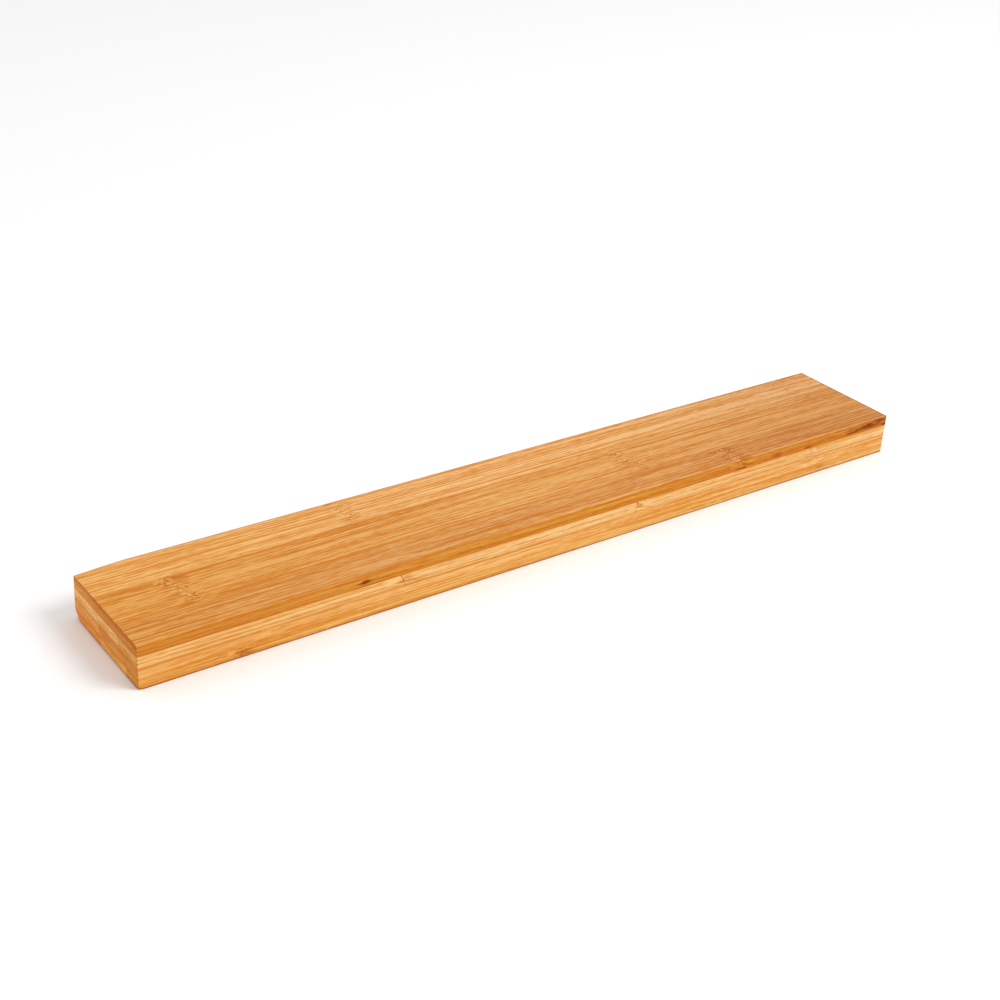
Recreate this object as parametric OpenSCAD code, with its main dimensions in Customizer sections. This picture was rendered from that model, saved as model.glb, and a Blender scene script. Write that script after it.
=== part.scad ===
// Knife magnetic rack: a bar glued up from four layers of bamboo laths, three laths to
// a layer, with a row of disc magnets shut in behind a thin skin of the face layer.
// The bar hangs from two keyhole plates let into its back.
// It lies on its back: +X runs along the bar, +Y points to the edge that is uppermost
// on the wall, and +Z points out of the knife face. Millimetres.

/* [Bar] */
// Length of the bar
rack_length = 400; // [360:10:500]
// Height of the bar on the wall
rack_width = 60; // [56:1:80]
// Thickness from the wall to the knife face
rack_thickness = 20; // [19:0.5:22]
// Radius of the four corners seen from the face
corner_r = 0.6; // [0.5:0.1:4]
// Radius of the sanded edges
edge_r = 0.5; // [0.3:0.1:1.5]

/* [Laths] */
// Thickness of each layer but the back one, which takes what is left
layer_t = 5.1; // [5:0.1:5.6]
// Width of the middle lath in every layer
lath_w = 24; // [20:1:26]
// Width of the upper lath in the face layer
face_upper_w = 20.5; // [15:0.5:25]
// Width of the upper lath in the second layer
second_upper_w = 19; // [15:0.5:25]
// Width of the upper lath in the third layer
third_upper_w = 24.5; // [15:0.5:25]
// Width of the upper lath in the back layer
back_upper_w = 25.5; // [15:0.5:26]

/* [Magnets] */
// Number of disc magnets in the row
magnet_count = 12; // [6:1:14]
// Diameter of a magnet
magnet_d = 18; // [12:1:18]
// Thickness of a magnet
magnet_t = 6; // [4:0.5:6]
// Distance from the end of the bar to the centre of the first magnet
magnet_end = 35; // [30:1:50]
// Radial gap between a magnet and its pocket
magnet_gap = 0.1; // [0.05:0.05:0.3]
// Width of the steel strip behind the magnets
keeper_w = 16; // [10:1:16]
// Thickness of the steel strip
keeper_t = 2; // [1:0.5:2]

/* [Hangers] */
// Distance between the two keyholes
hanger_spacing = 300; // [200:10:320]
// Height of the plates' middle above the middle of the bar, less than zero for below
hanger_y = -3.25; // [-4:0.25:0]
// Length of a keyhole plate, up and down the bar
plate_l = 40; // [38:1:46]
// Width of a keyhole plate
plate_w = 16; // [14:1:20]
// Thickness of a keyhole plate
plate_t = 1.5; // [1:0.1:1.6]
// Depth of the plate's outer side below the back of the bar
plate_inset = 0.3; // [0.1:0.1:0.4]
// Radius of the round hole that takes a wall screw's head
entry_r = 4.5; // [4:0.1:4.6]
// Half the width of the slot that takes the wall screw's shank
slot_r = 2.25; // [2:0.05:2.5]
// Rise from the centre of the round hole to the top of the slot's travel
keyhole_rise = 9; // [8:0.5:9.5]

/* [Plate screws] */
// Distance between the two screws of a plate
screw_spacing = 27; // [27:0.5:29]
// Radius of a screw's head
head_r = 2.9; // [2.6:0.1:3]
// Radius of a screw's shank
shank_r = 1.5; // [1.3:0.1:1.6]

/* [Hidden] */
$fn = 64;
layer_names = ["back", "third", "second", "face"];
row_names = ["lower", "middle", "upper"];
side_names = ["left", "right"];
end_names = ["lower", "upper"];
layer_count = len(layer_names);
row_count = len(row_names);
sides = [-1, 1];

function lath_name(layer, row) = str(layer_names[layer], "_lath_", row_names[row]);
function magnet_name(i) = str("magnet_", i + 1);
function plate_name(side) = str("hanger_plate_", side_names[side]);
function screw_name(side, end) = str("plate_screw_", side_names[side], "_", end_names[end]);

// The back layer is planed down until the four layers make up the bar's thickness
back_t = rack_thickness - (layer_count - 1) * layer_t;
third_top = back_t + layer_t;
upper_w = [back_upper_w, third_upper_w, second_upper_w, face_upper_w];

// Overshoot of a cut past the surface that it opens
past = 5;

// Magnets lie on the keeper strip, which is flush with the back of the second layer
keeper_z = third_top;
magnet_z = keeper_z + keeper_t;
magnet_pitch = (rack_length - 2 * magnet_end) / (magnet_count - 1);
magnet_bevel = 0.4;
keeper_l = rack_length - 2 * magnet_end + magnet_d;
keeper_gap = 0.2;
keeper_corner = 1;

// Keyhole: the round hole is below the middle of the plate, the slot rises from it
entry_y = -keyhole_rise / 2;
slot_y = keyhole_rise / 2;
plate_z = plate_inset;
plate_top = plate_z + plate_t;
plate_gap = 0.15;
plate_corner_r = 4;

// Hollow behind the keyhole, in which the head of the wall screw slides up
hollow_w = 2 * entry_r + 2;
hollow_l = 2 * entry_r + keyhole_rise + 0.5;
hollow_corner_r = 1.5;
hollow_roof = 1.6;
hollow_top = third_top - hollow_roof;

// Countersunk screw, which stops just short of the magnet layers
screw_z = plate_inset + 0.05;
screw_end = third_top - 0.1;
head_rim = 0.2;
head_h = head_rim + head_r - shank_r;
tip_h = 3;
hole_play = 0.15;
cross_w = 0.8;
cross_l = 3;
cross_h = 1;

bamboo = [[0.83, 0.60, 0.33], [0.86, 0.64, 0.38], [0.91, 0.72, 0.47], [0.80, 0.52, 0.24]];
nickel = [0.78, 0.78, 0.76];
steel = [0.55, 0.56, 0.58];
zinc = [0.72, 0.73, 0.70];

// Bottom and top of a layer, counted from the back
function layer_bottom(layer) = layer == 0 ? 0 : back_t + (layer - 1) * layer_t;
function layer_top(layer) = back_t + layer * layer_t;

// Upper edge of a lath: row 2 reaches past the bar, rows 1 and 0 end at the glue lines
function upper_joint(layer) = rack_width / 2 - upper_w[layer];
function row_top(layer, row) = row == 2 ? rack_width / 2 + past : upper_joint(layer) - (1 - row) * lath_w;
function row_bottom(layer, row) = row == 0 ? -rack_width / 2 - past : row_top(layer, row - 1);

function magnet_x(i) = (i - (magnet_count - 1) / 2) * magnet_pitch;
function hanger_place(side) = [sides[side] * hanger_spacing / 2, hanger_y, 0];
function screw_y(end) = sides[end] * screw_spacing / 2;

// Rectangle about the origin with round corners
module rounded_rect(w, h, r) {
    difference() {
        square([w, h], center = true);
        for (x = sides, y = sides) {
            translate([x * (w / 2 - r), y * (h / 2 - r)])
                difference() {
                    translate([x * past / 2, y * past / 2])
                        square(past, center = true);
                    circle(r);
                }
        }
    }
}

// The whole bar's outside: round in plan, and eased along every edge
module bar_outside() {
    mid_z = rack_thickness / 2;
    intersection() {
        linear_extrude(rack_thickness)
            rounded_rect(rack_length, rack_width, corner_r);
        translate([0, rack_width / 2 + past, mid_z])
            rotate([90, 0, 0])
                linear_extrude(rack_width + 2 * past)
                    rounded_rect(rack_length, rack_thickness, edge_r);
        translate([-rack_length / 2 - past, 0, mid_z])
            rotate([90, 0, 90])
                linear_extrude(rack_length + 2 * past)
                    rounded_rect(rack_width, rack_thickness, edge_r);
    }
}

module magnet_pockets() {
    for (i = [0 : magnet_count - 1])
        translate([magnet_x(i), 0, keeper_z])
            cylinder(r = magnet_d / 2 + magnet_gap, h = keeper_t + magnet_t);
}

module keeper_groove() {
    translate([-keeper_l / 2 - keeper_gap, -keeper_w / 2 - keeper_gap, keeper_z])
        cube([keeper_l + 2 * keeper_gap, keeper_w + 2 * keeper_gap, keeper_t]);
}

// Everything that is cut into the back for one hanger plate and its screws
module hanger_cuts() {
    translate([0, 0, -past])
        linear_extrude(past + plate_top)
            rounded_rect(plate_w + 2 * plate_gap, plate_l + 2 * plate_gap, plate_corner_r);
    linear_extrude(hollow_top)
        rounded_rect(hollow_w, hollow_l, hollow_corner_r);
    for (end = [0, 1])
        translate([0, screw_y(end), screw_z])
            screw_body();
}

module lath(layer, row) {
    low = [-rack_length / 2 - past, row_bottom(layer, row), layer_bottom(layer)];
    high = [rack_length / 2 + past, row_top(layer, row), layer_top(layer)];
    color(bamboo[layer])
        difference() {
            intersection() {
                bar_outside();
                translate(low)
                    cube(high - low);
            }
            magnet_pockets();
            keeper_groove();
            for (side = [0, 1])
                translate(hanger_place(side))
                    hanger_cuts();
        }
}

// Disc with a small bevel at both rims
module magnet(i) {
    r = magnet_d / 2;
    b = magnet_bevel;
    color(nickel)
        translate([magnet_x(i), 0, magnet_z])
            rotate_extrude()
                polygon([[0, 0], [r - b, 0], [r, b], [r, magnet_t - b], [r - b, magnet_t], [0, magnet_t]]);
}

module keeper_strip() {
    x = keeper_l / 2;
    y = keeper_w / 2;
    c = keeper_corner;
    color(steel)
        translate([0, 0, keeper_z])
            linear_extrude(keeper_t)
                polygon([
                    [-x, -y + c], [-x + c, -y], [x - c, -y], [x, -y + c],
                    [x, y - c], [x - c, y], [-x + c, y], [-x, y - c]
                ]);
}

module keyhole() {
    translate([0, entry_y, 0])
        cylinder(r = entry_r, h = plate_t + 2 * past, center = true);
    translate([0, slot_y, 0])
        cylinder(r = slot_r, h = plate_t + 2 * past, center = true);
    translate([-slot_r, entry_y, -past])
        cube([2 * slot_r, keyhole_rise, plate_t + 2 * past]);
}

module hanger_plate(side) {
    color(zinc)
        translate(hanger_place(side) + [0, 0, plate_z])
            difference() {
                linear_extrude(plate_t)
                    rounded_rect(plate_w, plate_l, plate_corner_r);
                keyhole();
                for (end = [0, 1])
                    translate([0, screw_y(end), 0])
                        countersunk_hole();
            }
}

// Through hole with a cone that the screw's head beds in
module countersunk_hole() {
    seat = screw_z - plate_z + head_rim;
    translate([0, 0, -past])
        cylinder(r = head_r + hole_play, h = past + seat);
    translate([0, 0, seat])
        cylinder(r1 = head_r + hole_play, r2 = shank_r + hole_play, h = head_h - head_rim);
    cylinder(r = shank_r + hole_play, h = plate_t + past);
}

// Head, shank and point as one turned shape, head at the origin
module screw_body() {
    l = screw_end - screw_z;
    rotate_extrude()
        polygon([
            [0, 0], [head_r, 0], [head_r, head_rim], [shank_r, head_h],
            [shank_r, l - tip_h], [0, l]
        ]);
}

module plate_screw(side, end) {
    color(zinc)
        translate(hanger_place(side) + [0, screw_y(end), screw_z])
            difference() {
                screw_body();
                for (turn = [0, 90])
                    rotate([0, 0, turn])
                        cube([cross_l, cross_w, 2 * cross_h], center = true);
            }
}

for (layer = [0 : layer_count - 1], row = [0 : row_count - 1])
    lath(layer, row);
for (i = [0 : magnet_count - 1])
    magnet(i);
keeper_strip();
for (side = [0, 1])
    hanger_plate(side);
for (side = [0, 1], end = [0, 1])
    plate_screw(side, end);
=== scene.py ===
"""Looks of the knife magnetic rack: twelve bamboo laths, and the metal that is shut in and let into them.

Sizes are in millimetres where they are worked out, and in metres once they are in a mesh.
"""

import math

import bmesh
import bpy
from mathutils import Matrix, Vector


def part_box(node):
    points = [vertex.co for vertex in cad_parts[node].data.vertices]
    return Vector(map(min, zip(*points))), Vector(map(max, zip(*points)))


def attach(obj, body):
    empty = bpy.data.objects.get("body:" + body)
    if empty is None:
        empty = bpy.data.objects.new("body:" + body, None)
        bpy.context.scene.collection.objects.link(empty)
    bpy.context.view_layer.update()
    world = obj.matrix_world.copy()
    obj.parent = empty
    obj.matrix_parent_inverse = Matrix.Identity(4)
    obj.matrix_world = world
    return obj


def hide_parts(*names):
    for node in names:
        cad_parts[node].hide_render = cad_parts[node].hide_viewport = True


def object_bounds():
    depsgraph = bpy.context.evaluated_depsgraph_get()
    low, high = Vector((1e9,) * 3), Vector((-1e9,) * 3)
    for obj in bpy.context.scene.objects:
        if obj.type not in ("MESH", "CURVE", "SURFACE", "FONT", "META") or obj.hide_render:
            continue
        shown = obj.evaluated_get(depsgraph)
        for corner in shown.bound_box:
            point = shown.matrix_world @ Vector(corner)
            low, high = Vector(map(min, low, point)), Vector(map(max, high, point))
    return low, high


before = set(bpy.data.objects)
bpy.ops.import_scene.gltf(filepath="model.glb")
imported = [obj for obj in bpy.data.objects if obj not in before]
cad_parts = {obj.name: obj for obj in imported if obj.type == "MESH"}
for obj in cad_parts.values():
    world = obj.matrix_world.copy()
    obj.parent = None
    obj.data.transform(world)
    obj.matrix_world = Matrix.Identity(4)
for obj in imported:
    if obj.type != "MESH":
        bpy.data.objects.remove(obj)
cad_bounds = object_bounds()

MM = 0.001
LAYERS = ("back", "third", "second", "face")
ROWS = ("lower", "middle", "upper")
SIDES = ("left", "right")
ENDS = ("lower", "upper")
MAGNETS = 12

# ---------------------------------------------------------------- sizes, in millimetres

BAR_LOW, BAR_HIGH = (corner / MM for corner in cad_bounds)
BAR_HALF = (BAR_HIGH - BAR_LOW) / 2
BAR_MIDDLE = (BAR_HIGH + BAR_LOW) / 2
CORNER_R = 0.6
EDGE_R = 0.5
# Places closer together than this count as the same
SAME = 0.01
# Spacing of the skin's points along, across and through a lath
PITCH = (4.0, 2.0, 1.2)
# Steps in from an eased edge, close enough together to round it
EASED_STEPS = (0.0, 0.06, 0.15, 0.26, 0.38, 0.5, 0.6, 0.8, 1.2, 1.8, 2.6, 3.6, 4.8, 6.2)
# Steps in from a glue line, where the skin dips a little
CREASE_STEPS = (0.0, 0.15, 0.5)
CREASE_DEPTH = 0.04

# The knot is a shallow pit in the lower edge: place from the left end and from the back
KNOT_X = 98
KNOT_Z = 16.6
KNOT_REACH = (2.4, 1.0)
KNOT_DEPTH = 0.3
KNOT_PITCH = 0.5
# Keeps the points round the knot off the points of the lath itself
KNOT_ASIDE = 0.01

# Wear of the left end: the upper long edge runs in and down towards it
RUN_REACH = 22
RUN_IN = 0.8
RUN_DOWN = 0.6
END_WEAR = 0.3
# Its upper corner is rounded off and its lower one is blunt, both near the wall
UPPER_CORNER_REACH = 5
UPPER_CORNER_WEAR = 0.9
LOWER_CORNER_REACH = 3
LOWER_CORNER_WEAR = 0.5

# Cuts in the bamboo, as gaps around the metal that they hold
MAGNET_GAP = 0.1
KEEPER_GAP = 0.2
KEEPER_CORNER = 1
GROOVE_CORNER_R = 0.3
PLATE_GAP = 0.15
PLATE_CORNER_R = 4
HOLLOW_W = 11
HOLLOW_L = 18.5
HOLLOW_CORNER_R = 1.5
HOLLOW_TOP = 8.2
# How far a cut reaches past the surface that it opens, and into the cut that it joins
PAST = 2
JOINED = 1

# Keyholes, screws and the rims of the metal
ENTRY_R = 4.5
SLOT_R = 2.25
KEYHOLE_RISE = 9
HOLE_PLAY = 0.15
HEAD_R = 2.9
HEAD_RIM = 0.2
SHANK_R = 1.5
# Height at which the cone of the head has narrowed to the shank
CONE_H = HEAD_RIM + HEAD_R - SHANK_R
THREAD_ROOT_R = 1.05
THREAD_PITCH = 1.1
THREAD_START = 2.2
THREAD_RINGS = 10
TIP_H = 3
TIP_R = 0.02
# Narrowest part of the thread, as a share of its full width
THREAD_POINT = 0.02
# How far in from its side and how far down a screw's head is eased
HEAD_EASE = (0.1, 0.08)
CROSS_L = 3
CROSS_W = 0.8
CROSS_H = 1
CROSS_CORNER_R = 0.15
RIM_R = 0.4
STAMPED_R = 0.12
# Radius of the plain patch in the middle of a magnet's and of a screw's flat
MAGNET_MIDDLE_R = 0.5
HEAD_MIDDLE_R = 1.2
# Distance of a magnet's outermost flat ring from its side
MAGNET_RING_IN = 1.2
# Keeps the ends of the slot from doubling their points
HAIR = 0.001


def lath_name(layer, row):
    return f"{layer}_lath_{row}"


def box_mm(node):
    """Lowest and highest corners of a CAD node."""
    return tuple(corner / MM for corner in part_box(node))


def foot_of(node):
    """The middle of a CAD node's lowest side."""
    low, high = box_mm(node)
    return Vector(((low.x + high.x) / 2, (low.y + high.y) / 2, low.z))


def place_piece(piece, node):
    """Lets a piece ride the bar and stand in for a CAD node, which is hidden; the piece comes with its
    material.
    """
    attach(piece, "root")
    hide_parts(node)


# ---------------------------------------------------------------- meshes


def new_object(name, work):
    """An object made from a bmesh whose points are in millimetres."""
    bmesh.ops.scale(work, vec=(MM, MM, MM), verts=work.verts)
    bmesh.ops.recalc_face_normals(work, faces=work.faces)
    mesh = bpy.data.meshes.new(name)
    work.to_mesh(mesh)
    work.free()
    obj = bpy.data.objects.new(name, mesh)
    bpy.context.scene.collection.objects.link(obj)
    return obj


def bake(obj):
    """Puts what the object's modifiers make into its mesh."""
    graph = bpy.context.evaluated_depsgraph_get()
    mesh = bpy.data.meshes.new_from_object(obj.evaluated_get(graph))
    old = obj.data
    obj.modifiers.clear()
    obj.data = mesh
    bpy.data.meshes.remove(old)


def cut(obj, cutters):
    """Takes each cutter out of the object, and throws the cutters away."""
    for cutter in cutters:
        modifier = obj.modifiers.new("cut", "BOOLEAN")
        modifier.operation = "DIFFERENCE"
        modifier.solver = "EXACT"
        modifier.object = cutter
    bake(obj)
    for cutter in cutters:
        bpy.data.objects.remove(cutter)


def soften(obj, radius, degrees=30):
    """Rounds the edges that are sharper than the angle."""
    modifier = obj.modifiers.new("soften", "BEVEL")
    modifier.width = radius * MM
    modifier.segments = 3
    modifier.limit_method = "ANGLE"
    modifier.angle_limit = math.radians(degrees)
    bake(obj)


def smooth_by_angle(obj, degrees=30):
    """Smooth shading, with a hard line where two faces meet at more than the angle."""
    work = bmesh.new()
    work.from_mesh(obj.data)
    for face in work.faces:
        face.smooth = True
    for edge in work.edges:
        edge.smooth = edge.calc_face_angle(0) < math.radians(degrees)
    work.to_mesh(obj.data)
    work.free()


def rounded_rect(w, h, r, steps=8):
    """Points around a rectangle about the origin with round corners."""
    points = []
    for corner, (sx, sy) in enumerate(((1, 1), (-1, 1), (-1, -1), (1, -1))):
        for i in range(steps + 1):
            turn = math.pi / 2 * (corner + i / steps)
            points.append((sx * (w / 2 - r) + r * math.cos(turn), sy * (h / 2 - r) + r * math.sin(turn)))
    return points


def circle(r, steps=48):
    """Points around a circle about the origin."""
    turns = [math.tau * i / steps for i in range(steps)]
    return [(r * math.cos(turn), r * math.sin(turn)) for turn in turns]


def prism(name, outline, at, low, high):
    """An upright block with this outline about a point, from one height to another."""
    work = bmesh.new()
    bottom = [work.verts.new((at.x + x, at.y + y, low)) for x, y in outline]
    top = [work.verts.new((at.x + x, at.y + y, high)) for x, y in outline]
    work.faces.new(reversed(bottom))
    work.faces.new(top)
    for i in range(len(outline)):
        work.faces.new((bottom[i - 1], bottom[i], top[i], top[i - 1]))
    return new_object(name, work)


def turned(name, profile, at, steps=48, radius=None):
    """A shape turned about an upright line: the profile is (radius, height) from one end to the other."""
    radius = radius or (lambda r, height, turn: r)
    work = bmesh.new()
    rings = []
    for r, height in profile:
        ring = []
        for i in range(steps):
            turn = math.tau * i / steps
            reach = radius(r, height, turn)
            x, y = reach * math.cos(turn), reach * math.sin(turn)
            ring.append(work.verts.new((at.x + x, at.y + y, at.z + height)))
        rings.append(ring)
    work.faces.new(reversed(rings[0]))
    work.faces.new(rings[-1])
    for low, high in zip(rings, rings[1:]):
        for i in range(steps):
            work.faces.new((low[i - 1], low[i], high[i], high[i - 1]))
    return new_object(name, work)


# ---------------------------------------------------------------- laths


def stations(low, high, pitch, steps_low, steps_high):
    """Places from low to high, pitch apart, with closer steps at both ends."""
    half = (high - low) / 2
    steps_low = [s for s in steps_low if s < half]
    steps_high = [s for s in steps_high if s < half]
    start, end = low + steps_low[-1], high - steps_high[-1]
    count = max(round((end - start) / pitch), 1)
    middle = [start + (end - start) * i / count for i in range(1, count)]
    return [low + s for s in steps_low] + middle + [high - s for s in reversed(steps_high)]


def squared_to_round(a, b):
    """Moves a point of a square corner onto the round one that has the same reach."""
    reach = max(a, b) / math.hypot(a, b)
    return a * reach, b * reach


def rounded(p):
    """A point of the bar's square outside, moved to the outside with round corners and eased edges."""
    away = Vector(p) - BAR_MIDDLE
    sign = Vector([math.copysign(1, c) for c in away])
    away = Vector([abs(c) for c in away])
    across = [away[i] - (BAR_HALF[i] - CORNER_R) for i in (0, 1)]
    if min(across) > 0:
        across = squared_to_round(*across)
        away.x, away.y = (BAR_HALF[i] - CORNER_R + across[i] for i in (0, 1))
        reach = math.hypot(*across)
        out = Vector((across[0] / reach, across[1] / reach, 0))
    else:
        reach = max(across)
        out = Vector((1, 0, 0)) if across[0] > across[1] else Vector((0, 1, 0))
    side = reach - CORNER_R + EDGE_R
    rise = away.z - (BAR_HALF.z - EDGE_R)
    if side > 0 and rise > 0:
        new_side, new_rise = squared_to_round(side, rise)
        away += out * (new_side - side)
        away.z += new_rise - rise
    return BAR_MIDDLE + away * sign


def fade(distance, reach, power=1.0):
    """One at no distance, falling to nothing at the reach."""
    return max(0.0, 1 - distance / reach) ** power


def worn(p):
    """A point of the outside, moved where hand sanding took more off, and into the knot."""
    from_end, from_upper, from_lower = p.x - BAR_LOW.x, BAR_HIGH.y - p.y, p.y - BAR_LOW.y
    from_face, from_back = BAR_HIGH.z - p.z, p.z - BAR_LOW.z
    # Each fade says how far from its side the wear reaches, and how fast it falls off
    run = fade(from_end, RUN_REACH, 1.2)
    corner = fade(from_end, UPPER_CORNER_REACH) * fade(from_upper, UPPER_CORNER_REACH)
    corner = UPPER_CORNER_WEAR * (corner * fade(from_back, 4, 1.5))
    p.y -= RUN_IN * run * fade(from_upper, 6) * fade(from_face, 14) + corner
    p.z -= RUN_DOWN * run * fade(from_upper, 9, 2) * fade(from_face, 5)
    p.x += END_WEAR * fade(from_upper, 4.3, 2) * fade(from_end, 3) + corner
    blunt = LOWER_CORNER_WEAR * fade(from_end, LOWER_CORNER_REACH) * fade(from_lower, LOWER_CORNER_REACH)
    blunt *= fade(from_back, 2.5, 2)
    p += Vector((blunt, blunt, 0))
    along = (from_end - KNOT_X) / KNOT_REACH[0]
    up = (from_back - KNOT_Z) / KNOT_REACH[1]
    p.y += KNOT_DEPTH * math.exp(-along * along - up * up) * fade(from_lower, 1)
    return p


def lath_mesh(layer, row):
    """One lath's skin, cut fine along eased edges and round the knot."""
    low, high = box_mm(lath_name(layer, row))
    outer = [(abs(low[i] - BAR_LOW[i]) < SAME, abs(high[i] - BAR_HIGH[i]) < SAME) for i in range(3)]
    places = []
    for i in range(3):
        steps = [EASED_STEPS if is_outer else CREASE_STEPS for is_outer in outer[i]]
        places.append(stations(low[i], high[i], PITCH[i], *steps))
    if (layer, row) == ("face", "lower"):
        for i, centre in ((0, BAR_LOW.x + KNOT_X), (2, BAR_LOW.z + KNOT_Z)):
            count = round(2 * KNOT_REACH[i // 2] / KNOT_PITCH)
            places[i] += [centre + KNOT_PITCH * k + KNOT_ASIDE for k in range(-count, count + 1)]
            places[i] = sorted(v for v in places[i] if low[i] <= v <= high[i])
    last = [len(p) - 1 for p in places]
    work = bmesh.new()
    made = {}

    def vertex(*at):
        if at not in made:
            glued = [
                (at[i] == 0 and not outer[i][0]) or (at[i] == last[i] and not outer[i][1])
                for i in range(3)
            ]
            skin = [
                (at[i] == 0 and outer[i][0]) - (at[i] == last[i] and outer[i][1])
                for i in range(3)
            ]
            moved = worn(rounded([places[i][at[i]] for i in range(3)]))
            if any(glued) and any(skin):
                moved += Vector(skin).normalized() * CREASE_DEPTH
            made[at] = work.verts.new(moved)
        return made[at]

    for flat in range(3):
        u, v = [i for i in range(3) if i != flat]
        for end in (0, last[flat]):
            for a in range(last[u]):
                for b in range(last[v]):
                    loop = []
                    for step_a, step_b in ((0, 0), (1, 0), (1, 1), (0, 1)):
                        at = [0, 0, 0]
                        at[flat], at[u], at[v] = end, a + step_a, b + step_b
                        loop.append(vertex(*at))
                    work.faces.new(loop)
    return work


def magnet_cutters():
    """The pockets that the magnets lie in."""
    cutters = []
    for i in range(1, MAGNETS + 1):
        low, high = box_mm(f"magnet_{i}")
        r = (high.x - low.x) / 2 + MAGNET_GAP
        cutters.append(prism("pocket", circle(r), (low + high) / 2, low.z - PAST, high.z))
    return cutters


def keeper_cutter():
    """The groove that the keeper strip lies in."""
    low, high = box_mm("keeper_strip")
    half = (high - low) / 2
    outline = rounded_rect(2 * (half.x + KEEPER_GAP), 2 * (half.y + KEEPER_GAP), GROOVE_CORNER_R, 2)
    return prism("groove", outline, (low + high) / 2, low.z - PAST, high.z)


def hanger_cutters(side):
    """What is cut into the back for a plate: its recess, the hollow behind its keyhole and screw holes."""
    low, high = box_mm(f"hanger_plate_{side}")
    centre = (low + high) / 2
    size = high - low
    recess = rounded_rect(size.x + 2 * PLATE_GAP, size.y + 2 * PLATE_GAP, PLATE_CORNER_R)
    hollow = rounded_rect(HOLLOW_W, HOLLOW_L, HOLLOW_CORNER_R)
    cutters = [
        prism("recess", recess, centre, BAR_LOW.z - PAST, high.z),
        prism("hollow", hollow, centre, high.z - JOINED, HOLLOW_TOP),
    ]
    for end in ENDS:
        node = f"plate_screw_{side}_{end}"
        cutters.append(turned("screw_hole", screw_profile(node), foot_of(node), 24))
    return cutters


def cutters_for(layer, row):
    """The cuts that reach this lath."""
    cutters = []
    if layer in ("second", "face") and row == "middle":
        cutters += magnet_cutters()
    if layer == "second" and row == "middle":
        cutters.append(keeper_cutter())
    if layer in ("back", "third") and (layer, row) != ("third", "lower"):
        for side in SIDES:
            cutters += hanger_cutters(side)
    return cutters


def make_lath(layer, row):
    """One lath with its cuts and its bamboo."""
    name = lath_name(layer, row)
    lath = new_object(f"bamboo_{name}", lath_mesh(layer, row))
    cutters = cutters_for(layer, row)
    if cutters:
        cut(lath, cutters)
    smooth_by_angle(lath)
    lath.data.materials.append(bamboo(layer, row))
    place_piece(lath, name)


# ---------------------------------------------------------------- metal


def quarter(steps=4):
    """Angles from nothing to a quarter turn."""
    return [math.pi / 2 * i / steps for i in range(steps + 1)]


def make_magnet(i, material):
    """A nickel-plated disc with rolled rims."""
    node = f"magnet_{i}"
    low, high = box_mm(node)
    r = (high.x - low.x) / 2
    height = high.z - low.z
    lower = [(r - RIM_R + RIM_R * math.sin(a), RIM_R - RIM_R * math.cos(a)) for a in quarter()]
    upper = [(radius, height - z) for radius, z in reversed(lower)]
    rings = (MAGNET_MIDDLE_R, r - MAGNET_RING_IN)
    bottom = [(radius, 0) for radius in rings]
    top = [(radius, height) for radius in reversed(rings)]
    profile = bottom + lower + upper + top
    magnet = turned(f"nickel_{node}", profile, foot_of(node), 72)
    smooth_by_angle(magnet)
    magnet.data.materials.append(material)
    place_piece(magnet, node)


def make_keeper(material):
    """A flat steel strip with cropped corners and broken edges."""
    low, high = box_mm("keeper_strip")
    x, y, c = (high.x - low.x) / 2, (high.y - low.y) / 2, KEEPER_CORNER
    outline = [
        (x, y - c), (x - c, y), (-x + c, y), (-x, y - c),
        (-x, -y + c), (-x + c, -y), (x - c, -y), (x, -y + c),
    ]
    keeper = prism("steel_keeper_strip", outline, (low + high) / 2, low.z, high.z)
    soften(keeper, STAMPED_R)
    smooth_by_angle(keeper)
    keeper.data.materials.append(material)
    place_piece(keeper, "keeper_strip")


def make_plate(side, material):
    """A stamped plate with a keyhole and two countersunk holes."""
    node = f"hanger_plate_{side}"
    low, high = box_mm(node)
    centre = (low + high) / 2
    outline = rounded_rect(high.x - low.x, high.y - low.y, PLATE_CORNER_R, 12)
    plate = prism(f"zinc_{node}", outline, centre, low.z, high.z)
    rise = Vector((0, KEYHOLE_RISE / 2, 0))
    bottom, top = low.z - PAST, high.z + PAST
    slot = rounded_rect(2 * SLOT_R, KEYHOLE_RISE + 2 * SLOT_R, SLOT_R - HAIR, 12)
    cutters = [
        prism("entry", circle(ENTRY_R, 64), centre - rise, bottom, top),
        prism("slot", slot, centre, bottom, top),
    ]
    rim = HEAD_R + HOLE_PLAY
    neck = SHANK_R + HOLE_PLAY
    cone = [(rim, -PAST), (rim, HEAD_RIM), (neck, CONE_H), (neck, 2 * PAST)]
    for end in ENDS:
        at = foot_of(f"plate_screw_{side}_{end}")
        cutters.append(turned("countersink", cone, at))
    cut(plate, cutters)
    soften(plate, STAMPED_R, 40)
    smooth_by_angle(plate)
    plate.data.materials.append(material)
    place_piece(plate, node)


def screw_profile(node):
    """The (radius, height) of a screw's outside from head to point."""
    low, high = box_mm(node)
    length = high.z - low.z
    return [(HEAD_R, 0), (HEAD_R, HEAD_RIM), (SHANK_R, CONE_H), (SHANK_R, length - TIP_H), (TIP_R, length)]


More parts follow.
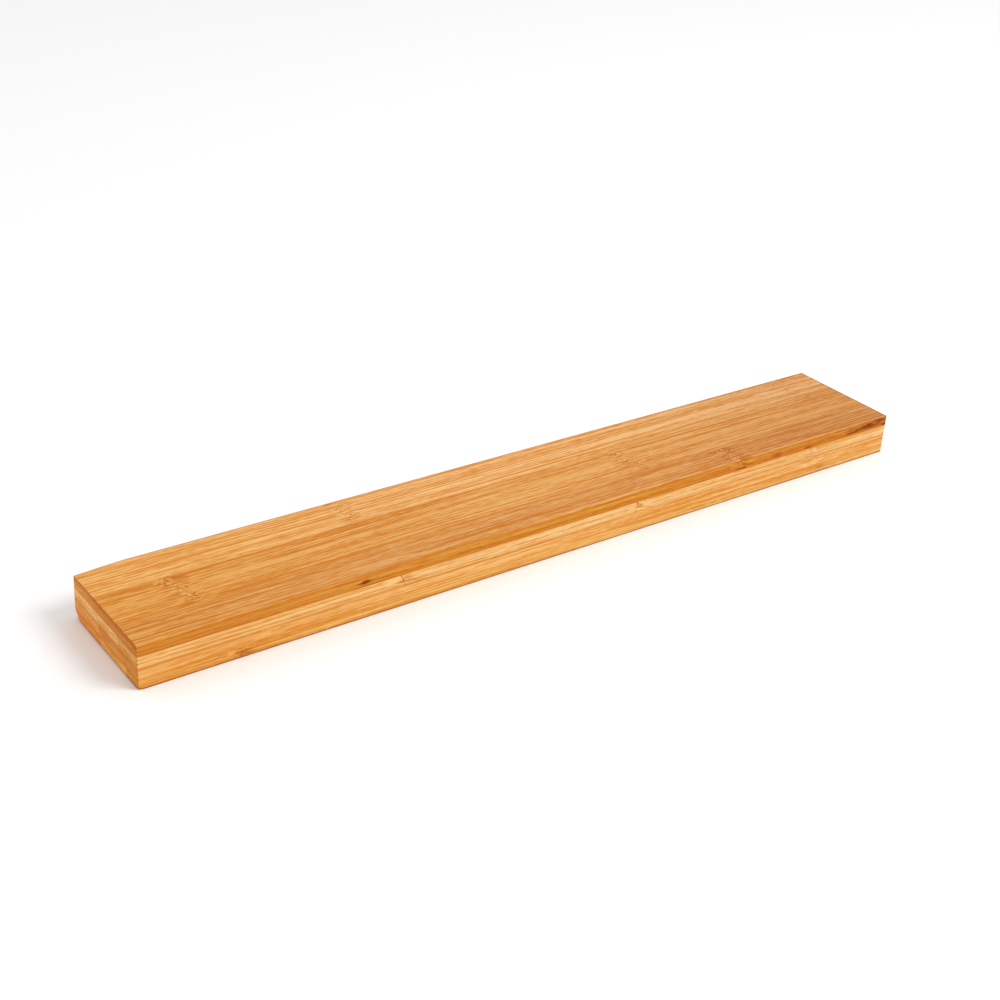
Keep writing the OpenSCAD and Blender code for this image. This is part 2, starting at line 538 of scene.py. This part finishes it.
def make_screw(side, end, material):
    """A countersunk wood screw with a cross recess and a rolled thread."""
    node = f"plate_screw_{side}_{end}"
    at = foot_of(node)
    low, high = box_mm(node)
    length = high.z - low.z

    def thread(r, height, turn):
        """The radius with the ridge that winds round it."""
        if height < THREAD_START:
            return r
        phase = (height / THREAD_PITCH - turn / math.tau) % 1
        ridge = max(0.0, 1 - 4 * abs(phase - 0.5))
        grow = min(1.0, (height - THREAD_START) / THREAD_PITCH)
        root = THREAD_ROOT_R / SHANK_R
        return r * (root + (1 - root) * (1 - grow * (1 - ridge)))

    ease_in, ease_up = HEAD_EASE
    profile = [(HEAD_MIDDLE_R, 0), (HEAD_R - ease_in, 0), (HEAD_R, ease_up), (HEAD_R, HEAD_RIM)]
    profile += [(SHANK_R, CONE_H), (SHANK_R, THREAD_START)]
    count = round((length - THREAD_START) / THREAD_PITCH * THREAD_RINGS)
    for i in range(1, count + 1):
        height = THREAD_START + (length - THREAD_START) * i / count
        width = max(THREAD_POINT, min(1.0, (length - height) / TIP_H))
        profile.append((SHANK_R * width, height))
    screw = turned(f"zinc_{node}", profile, at, 36, thread)
    for w, h in ((CROSS_W, CROSS_L), (CROSS_L, CROSS_W)):
        outline = rounded_rect(w, h, CROSS_CORNER_R, 3)
        cut(screw, [prism("cross", outline, at, at.z - PAST, at.z + CROSS_H)])
    smooth_by_angle(screw, 35)
    screw.data.materials.append(material)
    place_piece(screw, node)


# ---------------------------------------------------------------- materials


def linear(red, green, blue):
    """A colour given as it looks on a screen, 0 to 255, in the renderer's linear values."""
    values = []
    for value in (red, green, blue):
        v = value / 255
        values.append(v / 12.92 if v <= 0.04045 else ((v + 0.055) / 1.055) ** 2.4)
    return (*values, 1.0)


class Graph:
    """A material's node graph, built by calls that return sockets."""

    def __init__(self, name):
        self.material = bpy.data.materials.new(name)
        self.material.use_nodes = True
        self.tree = self.material.node_tree
        self.tree.nodes.clear()

    def add(self, kind, values=None, **settings):
        """A node of this kind, with its settings made and its inputs filled."""
        node = self.tree.nodes.new(kind)
        for key, value in settings.items():
            setattr(node, key, value)
        for key, value in (values or {}).items():
            self.put(node.inputs[key], value)
        return node

    def put(self, socket, value):
        """Joins another socket to this one, or sets it to a constant."""
        if isinstance(value, bpy.types.NodeSocket):
            self.tree.links.new(value, socket)
        else:
            socket.default_value = value

    def math(self, operation, a, b=None, c=None, clamp=False):
        given = {i: v for i, v in enumerate((a, b, c)) if v is not None}
        return self.add("ShaderNodeMath", given, operation=operation, use_clamp=clamp).outputs[0]

    def vector(self, x, y, z):
        return self.add("ShaderNodeCombineXYZ", {0: x, 1: y, 2: z}).outputs[0]

    def step(self, value, start, end, low=0.0, high=1.0):
        """Smooth change from low to high as the value goes from start to end."""
        node = self.add(
            "ShaderNodeMapRange",
            {"Value": value, "From Min": start, "From Max": end, "To Min": low, "To Max": high},
            interpolation_type="SMOOTHSTEP",
        )
        return node.outputs[0]

    def noise(self, at, scale, detail=2.0, rough=0.5, seed=0.0):
        """Noise about zero, mostly within -1 and 1, over a vector divided by scale in mm."""
        shrunk = self.add(
            "ShaderNodeVectorMath",
            {0: at, 1: tuple(1 / s for s in scale), 2: (seed, seed * 0.7, -seed)},
            operation="MULTIPLY_ADD",
        ).outputs[0]
        values = {"Vector": shrunk, "Scale": 1.0, "Detail": detail, "Roughness": rough}
        value = self.add("ShaderNodeTexNoise", values, noise_dimensions="3D").outputs[0]
        return self.math("MULTIPLY_ADD", value, 4.0, -2.0)

    def scale(self, vector, by):
        return self.add("ShaderNodeVectorMath", {0: vector, "Scale": by}, operation="SCALE").outputs[0]

    def vector_math(self, operation, a, b):
        return self.add("ShaderNodeVectorMath", {0: a, 1: b}, operation=operation).outputs[0]

    def place(self):
        """Where a point of the object is, in millimetres."""
        return self.scale(self.add("ShaderNodeTexCoord").outputs["Object"], 1 / MM)

    def product(self, first, *others):
        """All the values multiplied together."""
        for value in others:
            first = self.math("MULTIPLY", first, value)
        return first

    def gap(self, a, b):
        """Distance between two values."""
        return self.math("ABSOLUTE", self.math("SUBTRACT", a, b))

    def tint(self, colour, by):
        """The colour multiplied by a tint, each of its parts by its own."""
        return self.mix(1.0, colour, (*by, 1), "MULTIPLY")

    def mix(self, factor, a, b, blend="MIX"):
        node = self.add("ShaderNodeMix", data_type="RGBA", blend_type=blend, clamp_factor=True)
        for socket, value in ((node.inputs[0], factor), (node.inputs[6], a), (node.inputs[7], b)):
            self.put(socket, value)
        return node.outputs[2]

    def finish(self, colour, roughness, bump, bump_mm, **constant):
        """The material, with a surface of this colour whose bumps are this high."""
        shader = self.add("ShaderNodeBsdfPrincipled", {"Base Color": colour, "Roughness": roughness})
        for name, value in constant.items():
            shader.inputs[name.replace("_", " ")].default_value = value
        normal = self.add("ShaderNodeBump", {"Height": bump, "Distance": bump_mm * MM, "Strength": 1.0})
        self.put(shader.inputs["Normal"], normal.outputs[0])
        out = self.add("ShaderNodeOutputMaterial")
        self.put(out.inputs["Surface"], shader.outputs[0])
        return self.material


# Colour of each lath's wood half way along the bar, as it looks on a screen. Round numbers, changed until
# a render's average colours came close to the photograph's.
TONES = {
    ("face", "upper"): (220, 160, 95),
    ("face", "middle"): (210, 145, 75),
    ("face", "lower"): (205, 140, 75),
    ("second", "upper"): (240, 190, 125),
    ("second", "middle"): (235, 190, 140),
    ("second", "lower"): (220, 165, 100),
    ("third", "upper"): (230, 170, 105),
    ("third", "middle"): (220, 155, 85),
    ("third", "lower"): (215, 155, 85),
    ("back", "upper"): (230, 160, 85),
    ("back", "middle"): (230, 175, 105),
    ("back", "lower"): (210, 150, 75),
}
# The face layer is darker along its long edges, where the oil soaked in
FACE_EDGE_TONE = (200, 130, 45)
# Tints of the wood at the left end and at the right end, which fade to none half way. On the top of the face
# the tints are painted light: the paler, pinker right end stands in for the lamp's sheen at a grazing angle.
FACE_PAINTED_SHEEN_DRIFT = ((1.0, 0.95, 0.75), (0.85, 0.8, 0.8))
FACE_EDGE_DRIFT = ((0.95, 0.8, 0.75), (0.9, 0.75, 0.55))
UNDER_DRIFT = ((1.0, 0.95, 0.85), (1.0, 1.05, 1.2))
# Tint of a layer's sides at its upper and at its lower glue line
LAYER_TINTS = {
    "face": ((1.0, 1.02, 1.08), (0.92, 0.86, 0.75)),
    "second": ((1.0, 1.05, 1.1), (0.96, 0.93, 0.85)),
    "third": ((0.97, 0.93, 0.88), (1.05, 1.05, 1.05)),
    "back": ((1.0, 1.0, 1.0), (1.04, 1.04, 1.0)),
}
END_GRAIN_TINT = (0.96, 0.80, 0.55)
# Tints of a lath's own colour in its fibre bundles, stains, burnt dashes and pale pith
TINTS = {
    "dark": (0.89, 0.67, 0.25),
    "pale": (1.13, 1.38, 1.85),
    "brown": (0.40, 0.17, 0.02),
    "burnt": (0.60, 0.26, 0.04),
    "cream": (1.22, 1.40, 1.50),
}
# Size of the fibre streaks along and across the grain, and weight
STREAKS = (
    ((340, 3.1, 3.1), 0.17),
    ((70, 2.9, 2.9), 0.08),
    ((300, 1.5, 1.5), 0.34),
    ((60, 1.4, 1.4), 0.22),
    ((220, 0.8, 0.8), 0.85),
    ((45, 0.75, 0.75), 0.6),
    ((120, 0.45, 0.45), 1.0),
    ((14, 0.42, 0.42), 0.8),
    ((4, 0.42, 0.42), 0.7),
)
# Wander of the streaks across the grain, and how far the swirl at a node moves them across and up, in
# millimetres
WANDER = 0.5
SWIRL = (0.9, 0.6)
# Size of a fibre bundle along and across the grain, where its dark core starts and is full as shares of
# that size, and the core's strength, which the end grain doubles
BUNDLE = (90, 0.8, 0.8)
BUNDLE_FADE = (0.45, 0.15)
BUNDLE_DARK = 0.2
# Long dark lines along the grain: half width, as a level of the noise that they follow, and strength
LINE_HALF = 0.09
LINE_DARK = 0.35
# How much calmer the streaks are on the sides, and the strength of streaks and saw smears on the ends
SIDE_CALM = 0.35
END_STREAKS = 0.45
END_SMEARS = 0.8
# Strength of the fine smears, as a share of the broad ones
FINE_SMEARS = 0.5
# Broad soft stripes along the face: distance from the upper edge, half width and strength, below zero
# for dark
STRIPES = {
    ("face", "middle"): ((22.5, 3.0, -0.4), (31.5, 5.0, 0.22)),
    ("face", "lower"): ((49.5, 4.0, -0.25),),
}
# Bamboo nodes that cross each lath: distance from the left end, lean and strength
NODES = {
    ("face", "upper"): ((118, -0.2, 0.85), (377, -0.2, 0.4)),
    ("face", "middle"): ((32, -0.25, 1.0), (255, -0.3, 0.8)),
    ("face", "lower"): ((301, -0.25, 1.2),),
    ("second", "upper"): ((205, 0.1, 0.8),),
    ("second", "middle"): ((160, 0.2, 0.8),),
    ("second", "lower"): ((117, 0.1, 0.9), (241, 0.1, 1.0), (349, 0.1, 0.35)),
    ("third", "upper"): ((290, 0.2, 0.8),),
    ("third", "middle"): ((88, 0.2, 0.7),),
    ("third", "lower"): ((57, 0.2, 0.6), (350, 0.1, 0.5)),
    ("back", "upper"): ((74, 0.2, 0.8), (322, 0.1, 0.7)),
    ("back", "middle"): ((196, 0.3, 0.9),),
    ("back", "lower"): ((44, 0.2, 0.8), (356, 0.1, 0.6)),
}
# Spots and stains on the lower edge: distance from the left end and from the back, reach along and up,
# and strength, below zero for pale
SPOTS = {
    ("face", "lower"): (
        (KNOT_X, KNOT_Z, 3.0, 1.0, 1.0),
        (KNOT_X + 1, KNOT_Z - 0.4, 9.0, 1.8, 0.25),
        (325, 17.0, 3.0, 1.2, 0.6),
        (346, 16.2, 3.4, 1.0, 0.6),
        (378, 16.3, 8.0, 0.8, 0.8),
        (386, 17.0, 18.0, 2.6, 0.5),
        (387, 17.4, 5.0, 1.5, 1.0),
        (395, 18.4, 4.5, 1.3, 1.0),
        (400, 17.5, 1.8, 4.5, 1.0),
    ),
    ("second", "lower"): (
        (112, 13.2, 6.5, 1.4, -0.6),
        (121.5, 13.6, 4.5, 1.1, -0.5),
        (115.6, 12.0, 1.6, 0.6, 0.6),
        (237, 12.5, 4.0, 1.3, -0.8),
        (244.5, 12.4, 3.0, 1.4, -0.6),
    ),
    ("third", "lower"): ((52, 7.5, 6.0, 1.2, -0.4),),
    ("back", "lower"): ((44, 2.4, 4.0, 0.8, 0.5), (356, 2.6, 3.0, 0.8, 0.4)),
}
# Reach into the bar of what shows as a spot on its edge
SPOT_DEPTH = 1.6
# Where a spot starts and is full, as shares of its reach, and how ragged its outline is
SPOT_FADE = (1.3, 0.3)
SPOT_RAGGED = 0.9
# Half widths of a bamboo node, of its cluster of dashes and of its thin scar, where each starts and is full
NODE_FADE = (11, 1)
DASHES_FADE = (4.5, 1.0)
SCAR_FADE = (0.6, 0.15)
# Strength of the pale patches and of the burnt tails round a node
PATCHES = 0.7
TAILS = 0.7
# The scar's lower end, as distances below the top of the layer
SCAR_END = (3.4, 2.4)
# Bow of the scar across a layer, and raggedness of the scar and of the node
SCAR_BOW = 0.12
SCAR_RAGGED = 0.5
NODE_RAGGED = 2.2
# Half widths of a glue line where it starts and is full, and how much wider it soaks into the end grain
GLUE_REACH = 0.45
GLUE_FULL = 0.05
GLUE_SOAKED = 0.3
# Strength of the glue lines between laths and between layers
LATH_GLUE = 0.3
LAYER_GLUE = 0.9
# Dark band along the upper edge and the right end of the face: distances from the edge where it starts and
# is full, the same below the face, and its strength
EDGE_FADE = (1.3, 0.5)
EDGE_BELOW = (0.6, 0.3)
EDGE_STRENGTH = 0.7
# Heights over the back at which the painted shade along the foot of the sides starts and is full; it stands
# in for the contact shadow at the floor
FOOT_SHADE_FADE = (1.0, 0.2)
# How strongly the thin scar of a node shows on a layer's sides, and how much fainter its dashes are there
SCARRED = {"face": 0.0, "second": 1.0, "third": 0.0, "back": 0.0}
CALMER = {"face": 0.1, "second": 0.6, "third": 0.6, "back": 0.6}
# Reach and strength of the dark rim of the end grain at its lower, upper, back and face edge, and how far
# from the edge it is full
RIM_LOWER = (1.8, 0.3)
RIM_UPPER = (2.2, 1.0)
RIM_BACK = (1.2, 1.0)
RIM_FACE = (3.4, 0.7)
RIM_FULL = 0.2
# Lightness of the wood between its dark and its pale tint where the grain is neutral, and its change with it
GRAIN_MIDDLE = 0.52
GRAIN_CONTRAST = 0.5
# Height of the grain's relief in millimetres, and depth of the burnt dashes as a share of it
RELIEF = 0.02
DUG_DEPTH = 1.5
# Shine of the oiled wood
WOOD_ROUGHNESS = 0.55
GRAIN_ROUGHNESS = 0.05
WOOD_SPECULAR = 0.06


class Wood:
    """Places and directions on a lath, which its material's parts share."""

    def __init__(self, g, layer, row):
        self.low, self.high = box_mm(lath_name(layer, row))
        self.seed = 10.0 * LAYERS.index(layer) + 3.0 * ROWS.index(row)
        self.place = g.place()
        self.x, self.y, self.z = g.add("ShaderNodeSeparateXYZ", {0: self.place}).outputs
        normal = g.add("ShaderNodeTexCoord").outputs["Normal"]
        sizes = [g.math("ABSOLUTE", part) for part in g.add("ShaderNodeSeparateXYZ", {0: normal}).outputs]
        self.on_end = g.step(sizes[0], 0.5, 0.9)
        self.on_side = g.step(sizes[1], 0.5, 0.9)
        self.off_flat = g.step(sizes[2], 0.98, 0.6)


def node_marks(g, wood, layer, row):
    """How near a bamboo node is, how close to its middle, and where its thin scar is on the sides."""
    ragged = g.noise(wood.place, (40, 3, 3), 2.0, seed=wood.seed + 5)
    patchy = g.step(g.noise(wood.place, (7, 3.2, 3.2), 1.0, seed=wood.seed + 14), -0.5, 0.3, 0.1, 1.0)
    middle = (wood.low + wood.high) / 2
    near, core, scar = 0.0, 0.0, 0.0
    for at, lean, strength in NODES[layer, row]:
        aside = g.math("SUBTRACT", wood.y, middle.y)
        up = g.math("SUBTRACT", wood.z, middle.z)
        off = g.math("SUBTRACT", wood.x, BAR_LOW.x + at)
        off = g.math("MULTIPLY_ADD", aside, -lean, off)
        bowed = g.math("MULTIPLY_ADD", g.product(up, up), SCAR_BOW, off)
        bowed = g.math("MULTIPLY_ADD", ragged, SCAR_RAGGED, bowed)
        off = g.math("MULTIPLY_ADD", ragged, NODE_RAGGED, off)
        off, bowed = g.math("ABSOLUTE", off), g.math("ABSOLUTE", bowed)
        near = g.math("ADD", near, g.step(off, *NODE_FADE, 0, strength))
        core = g.math("ADD", core, g.step(off, *DASHES_FADE, 0, strength))
        scar = g.math("ADD", scar, g.step(bowed, *SCAR_FADE, 0, strength))
    core = g.product(core, g.math("MULTIPLY_ADD", wood.on_side, -CALMER[layer], 1.0), patchy)
    above_end = g.step(wood.z, *(wood.high.z - below for below in SCAR_END))
    scar = g.product(scar, above_end, wood.on_side, SCARRED[layer])
    return near, core, scar


def streak_tone(g, wood, near, stripes):
    """Lightness of the fibre bundles about zero: streaks along the lath, smears across its ends."""
    place, seed = wood.place, wood.seed
    drift = g.noise(place, (190, 30, 30), 0.0, seed=seed)
    swirl = g.product(g.noise(place, (5, 4, 4), 1.0, seed=seed + 1), near)
    across = g.math("MULTIPLY_ADD", drift, WANDER, wood.y)
    across = g.math("MULTIPLY_ADD", swirl, SWIRL[0], across)
    upward = g.math("MULTIPLY_ADD", swirl, SWIRL[1], wood.z)
    grain = g.vector(wood.x, across, upward)
    tone = 0.0
    for i, (scale, weight) in enumerate(STREAKS):
        tone = g.math("MULTIPLY_ADD", g.noise(grain, scale, 0.0, seed=seed + 20 + i), weight, tone)
    for from_upper, half_width, strength in stripes:
        off = g.gap(across, BAR_HIGH.y - from_upper)
        tone = g.math("ADD", tone, g.step(off, half_width, 0, 0, strength))
    line = g.math("ABSOLUTE", g.noise(grain, (160, 2.6, 2.6), 0.0, seed=seed + 8))
    tone = g.math("MULTIPLY_ADD", g.step(line, LINE_HALF, 0.0), -LINE_DARK, tone)
    bundles = g.vector_math("MULTIPLY", grain, tuple(1 / size for size in BUNDLE))
    bundle = g.add("ShaderNodeTexVoronoi", {"Vector": bundles, "Scale": 1.0}).outputs["Distance"]
    dark = g.math("MULTIPLY_ADD", wood.on_end, BUNDLE_DARK, BUNDLE_DARK)
    bundle = g.product(g.step(bundle, *BUNDLE_FADE), dark)
    tone = g.math("SUBTRACT", tone, bundle)
    tone = g.product(tone, g.math("MULTIPLY_ADD", wood.on_side, -SIDE_CALM, 1.0))
    # The saw left long soft smears across the end grain
    smear = g.noise(place, (60, 11, 1.3), 1.0, seed=seed + 3)
    fine = g.noise(place, (60, 3.5, 0.6), 0.0, seed=seed + 4)
    smear = g.math("MULTIPLY_ADD", fine, FINE_SMEARS, smear)
    end_tone = g.math("MULTIPLY_ADD", tone, END_STREAKS, g.product(smear, END_SMEARS))
    return g.add("ShaderNodeMix", {0: wood.on_end, 2: tone, 3: end_tone}).outputs[0]


def wood_colour(g, wood, layer, row):
    """The lath's own colour, which changes along the bar and through the layer."""
    half_way = BAR_MIDDLE.x

    def along(tone, drift):
        """The tone half way along, and its tinted forms at the two ends."""
        left, right = ((*tint, 1) for tint in drift)
        tint = g.mix(g.step(wood.x, BAR_LOW.x, half_way), left, (1, 1, 1, 1))
        tint = g.mix(g.step(wood.x, half_way, BAR_HIGH.x), tint, right)
        return g.mix(1.0, linear(*tone), tint, "MULTIPLY")

    above, below = ((*tint, 1) for tint in LAYER_TINTS[layer])
    through = g.mix(g.step(wood.z, wood.low.z, wood.high.z), below, above)
    if layer == "face":
        side = g.mix(1.0, along(FACE_EDGE_TONE, FACE_EDGE_DRIFT), through, "MULTIPLY")
        # On the top of the face the drift along the bar is painted sheen, paler and pinker towards the right
        # end.
        colour = g.mix(wood.on_side, along(TONES[layer, row], FACE_PAINTED_SHEEN_DRIFT), side)
    else:
        colour = g.mix(1.0, along(TONES[layer, row], UNDER_DRIFT), through, "MULTIPLY")
    return g.mix(wood.on_end, colour, g.tint(colour, END_GRAIN_TINT))


def with_nodes(g, wood, marks, tints, colour):
    """Pale patches and burnt tails round a cluster of short dashes, and the scar. Also gives the dashes."""
    near, core, scar = marks
    place, seed = wood.place, wood.seed
    patch = g.step(g.noise(place, (7, 2.4, 2.4), 1.0, seed=seed + 9), -0.1, 0.35)
    tail = g.step(g.noise(place, (10, 1.0, 1.0), 1.0, seed=seed + 11), 0.05, 0.45)
    dash = g.noise(place, (1.7, 0.5, 0.5), 1.0, seed=seed + 10)
    colour = g.mix(g.product(patch, near, PATCHES), colour, tints["cream"])
    colour = g.mix(g.product(tail, near, TAILS), colour, tints["burnt"])
    colour = g.mix(g.product(g.step(dash, -0.1, -0.4), core), colour, tints["cream"])
    dug = g.product(g.step(dash, 0.05, 0.4), core)
    colour = g.mix(dug, colour, tints["burnt"])
    return g.mix(scar, colour, tints["burnt"]), dug


def with_face_edges(g, wood, tints, colour):
    """The upper edge and the right end of the face, which soak up more oil."""
    far_end = g.step(wood.x, *(BAR_HIGH.x - inward for inward in EDGE_FADE))
    far_side = g.step(wood.y, *(BAR_HIGH.y - inward for inward in EDGE_FADE))
    by_face = g.step(wood.z, *(BAR_HIGH.z - below for below in EDGE_BELOW), 0, EDGE_STRENGTH)
    return g.mix(g.product(g.math("MAXIMUM", far_end, far_side), by_face), colour, tints["burnt"])


def with_spots(g, wood, spots, tints, colour):
    """Spots and stains on the lower edge, drawn out along the grain."""
    smudge = g.noise(wood.place, (8, 0.5, 0.5), 1.0, seed=wood.seed + 12)
    for x, z, reach_x, reach_z, strength in spots:
        centre = (BAR_LOW.x + x, BAR_LOW.y, BAR_LOW.z + z)
        shrink = (1 / reach_x, 1 / SPOT_DEPTH, 1 / reach_z)
        off = g.vector_math("MULTIPLY", g.vector_math("SUBTRACT", wood.place, centre), shrink)
        off = g.add("ShaderNodeVectorMath", {0: off}, operation="LENGTH").outputs["Value"]
        off = g.math("MULTIPLY_ADD", smudge, SPOT_RAGGED, off)
        spot = tints["brown" if strength > 0 else "cream"]
        colour = g.mix(g.step(off, *SPOT_FADE, 0, abs(strength)), colour, spot)
    return colour


def with_glue_lines(g, wood, tints, colour):
    """Glue lines: faint between the laths of a layer, darker and broken between layers."""
    broken = g.step(g.noise(wood.place, (14, 6, 6), 2.0, seed=wood.seed + 13), -0.9, 0.3, 0.35, 1.0)
    soaked = g.math("MULTIPLY_ADD", wood.on_end, GLUE_SOAKED, GLUE_REACH)
    for axis, value, strength in ((1, wood.y, LATH_GLUE), (2, wood.z, LAYER_GLUE)):
        for edge, outside in ((wood.low[axis], BAR_LOW[axis]), (wood.high[axis], BAR_HIGH[axis])):
            if abs(edge - outside) > SAME:
                line = g.step(g.gap(value, edge), soaked, GLUE_FULL, 0, strength)
                colour = g.mix(g.product(line, broken), colour, tints["dark"])
    return colour


def with_rims_and_foot_shade(g, wood, tints, colour):
    """The rim of the end grain, made darker along its edges, and painted shade along the foot of the sides,
    in place of the contact shadow at the floor.
    """
    rim = 0.0
    outsides = (
        (wood.y, BAR_LOW.y, RIM_LOWER),
        (wood.y, BAR_HIGH.y, RIM_UPPER),
        (wood.z, BAR_LOW.z, RIM_BACK),
        (wood.z, BAR_HIGH.z, RIM_FACE),
    )
    for value, outside, (reach, strength) in outsides:
        rim = g.math("ADD", rim, g.step(g.gap(value, outside), reach, RIM_FULL, 0, strength))
    colour = g.mix(g.product(rim, wood.on_end), colour, g.mix(0.5, tints["dark"], tints["burnt"]))
    # Painted shade: the foot of the sides is darkened where the bar meets the floor, standing in for a
    # contact shadow.
    painted_foot_shade = g.product(g.step(wood.z, *(BAR_LOW.z + up for up in FOOT_SHADE_FADE)), wood.off_flat)
    return g.mix(painted_foot_shade, colour, tints["brown"])


def bamboo(layer, row):
    """Bamboo cut lengthwise, with its fibre bundles, nodes, spots and glue lines."""
    g = Graph(f"bamboo_{layer}_{row}")
    wood = Wood(g, layer, row)
    marks = node_marks(g, wood, layer, row)
    tone = streak_tone(g, wood, marks[0], STRIPES.get((layer, row), ()))
    mean = wood_colour(g, wood, layer, row)
    tints = {name: g.tint(mean, tint) for name, tint in TINTS.items()}
    lightness = g.math("MULTIPLY_ADD", tone, GRAIN_CONTRAST, GRAIN_MIDDLE, clamp=True)
    colour = g.mix(lightness, tints["dark"], tints["pale"])
    colour, dug = with_nodes(g, wood, marks, tints, colour)
    colour = with_face_edges(g, wood, tints, colour)
    colour = with_spots(g, wood, SPOTS.get((layer, row), ()), tints, colour)
    colour = with_glue_lines(g, wood, tints, colour)
    colour = with_rims_and_foot_shade(g, wood, tints, colour)
    rough = g.math("MULTIPLY_ADD", tone, GRAIN_ROUGHNESS, WOOD_ROUGHNESS)
    relief = g.math("SUBTRACT", tone, g.product(dug, DUG_DEPTH))
    return g.finish(colour, rough, relief, RELIEF, Specular_IOR_Level=WOOD_SPECULAR)


# Colours of the metal, as they look on a screen
NICKEL_CLEAN = (214, 211, 202)
NICKEL_RUBBED = (186, 182, 172)
STEEL_BARE = (150, 152, 156)
STEEL_OILED = (112, 110, 108)
STEEL_LINE = (90, 90, 92)
ZINC_TARNISH = (176, 168, 142)
# Pale and dull colour of the zinc, and its roughness, on the plates and on the screws
PLATE_ZINC = ((206, 208, 210), (176, 179, 184), 0.3)
SCREW_ZINC = ((216, 217, 216), (192, 193, 194), 0.22)
# Size of a flake of zinc
FLAKE = 0.625


def nickel():
    """Bright plating with a faint ripple and a few dull rubs."""
    g = Graph("nickel")
    place = g.place()
    ripple = g.noise(place, (1.5, 1.5, 1.5), 3.0)
    rub = g.step(g.noise(place, (6, 6, 3), 2.0, seed=2), 0.1, 0.9)
    colour = g.mix(rub, linear(*NICKEL_CLEAN), linear(*NICKEL_RUBBED))
    return g.finish(colour, g.math("MULTIPLY_ADD", rub, 0.16, 0.12), ripple, 0.004, Metallic=1.0)


def rolled_steel():
    """Cold-rolled strip: fine lines along its length under a thin, blotchy film of oil."""
    g = Graph("rolled_steel")
    place = g.place()
    lines = g.noise(place, (60, 0.25, 0.25), 3.0, 0.7, seed=3)
    film = g.noise(place, (9, 6, 6), 3.0, seed=4)
    oiled = g.math("MULTIPLY_ADD", film, 0.4, 0.5, clamp=True)
    colour = g.mix(oiled, linear(*STEEL_BARE), linear(*STEEL_OILED))
    colour = g.mix(g.step(lines, 0.2, 0.9, 0, 0.4), colour, linear(*STEEL_LINE))
    rough = g.math("MULTIPLY_ADD", film, 0.08, 0.36)
    return g.finish(colour, rough, lines, 0.006, Metallic=1.0)


def zinc(name, pale, dull, roughness):
    """Zinc plating: a grain of small dull and bright flakes, yellowish where the passivation is thicker."""
    g = Graph(name)
    place = g.place()
    shrunk = g.scale(place, 1 / FLAKE)
    flake = g.add("ShaderNodeTexVoronoi", {"Vector": shrunk, "Scale": 1.0}).outputs["Color"]
    flake = g.add("ShaderNodeSeparateColor", {0: flake}).outputs[0]
    tarnish = g.step(g.noise(place, (5, 5, 5), 3.0, seed=5), -0.2, 1.0)
    colour = g.mix(flake, linear(*dull), linear(*pale))
    colour = g.mix(g.product(tarnish, 0.5), colour, linear(*ZINC_TARNISH))
    rough = g.math("MULTIPLY_ADD", flake, 0.12, roughness)
    grain = g.noise(place, (0.3, 0.3, 0.3), 2.0, seed=6)
    return g.finish(colour, rough, grain, 0.006, Metallic=1.0)


# ---------------------------------------------------------------- the rack

for layer in LAYERS:
    for row in ROWS:
        make_lath(layer, row)

nickel_plate = nickel()
for i in range(1, MAGNETS + 1):
    make_magnet(i, nickel_plate)
make_keeper(rolled_steel())
plate_zinc = zinc("plate_zinc", *PLATE_ZINC)
screw_zinc = zinc("screw_zinc", *SCREW_ZINC)
for side in SIDES:
    make_plate(side, plate_zinc)
    for end in ENDS:
        make_screw(side, end, screw_zinc)

# ---------------------------------------------------------------- studio

# Metres and watts
FLOOR_HALF = 6.0
FLOOR_WHITE = 0.95
WORLD_STRENGTH = 0.82
KEY_AT = (1.0, -1.2, 1.6)
KEY_SIZE = 1.2
KEY_POWER = 26


def make_floor():
    """A sheet of pale paper."""
    work = bmesh.new()
    bmesh.ops.create_grid(work, x_segments=12, y_segments=12, size=FLOOR_HALF / MM)
    floor = new_object("floor", work)
    g = Graph("floor_paper")
    tooth = g.noise(g.place(), (2, 2, 2), 2.0)
    white = (FLOOR_WHITE, FLOOR_WHITE, FLOOR_WHITE, 1)
    floor.data.materials.append(g.finish(white, 0.75, tooth, 0.01, Specular_IOR_Level=0.2))


# The photograph's own view of the bar, worked out from its corners: metres, turns, and lens and sensor in
# millimetres
CAMERA_AT = Vector((-0.3933, -0.5051, 0.3569))
CAMERA_BEARING = math.radians(36.87)
CAMERA_DOWN = math.radians(28.33)
CAMERA_ROLL = math.radians(3.25)
CAMERA_LENS = 58.55
CAMERA_SENSOR = 36.0
# Metres that the camera sees
CAMERA_SEES = 50


def make_camera():
    data = bpy.data.cameras.new("camera")
    data.lens = CAMERA_LENS
    data.sensor_width = CAMERA_SENSOR
    data.clip_end = CAMERA_SEES
    camera = bpy.data.objects.new("camera", data)
    bpy.context.scene.collection.objects.link(camera)
    turn = Matrix.Rotation(-CAMERA_BEARING, 4, "Z")
    turn = turn @ Matrix.Rotation(math.pi / 2 - CAMERA_DOWN, 4, "X")
    turn = turn @ Matrix.Rotation(CAMERA_ROLL, 4, "Z")
    camera.matrix_world = Matrix.Translation(CAMERA_AT) @ turn
    bpy.context.scene.camera = camera


def area_light(name, at, size, power):
    """A round soft lamp that faces the origin."""
    data = bpy.data.lights.new(name, "AREA")
    data.shape = "DISK"
    data.size = size
    data.energy = power
    light = bpy.data.objects.new(name, data)
    bpy.context.scene.collection.objects.link(light)
    light.location = at
    light.rotation_euler = (-Vector(at)).to_track_quat("-Z", "Y").to_euler()


def make_light():
    """White all round, and one soft lamp from the right."""
    world = bpy.data.worlds.new("studio")
    world.use_nodes = True
    background = world.node_tree.nodes["Background"].inputs
    background["Color"].default_value = (1, 1, 1, 1)
    background["Strength"].default_value = WORLD_STRENGTH
    bpy.context.scene.world = world
    area_light("key", KEY_AT, KEY_SIZE, KEY_POWER)


make_camera()
make_floor()
make_light()
bpy.context.scene.view_settings.view_transform = "Standard"
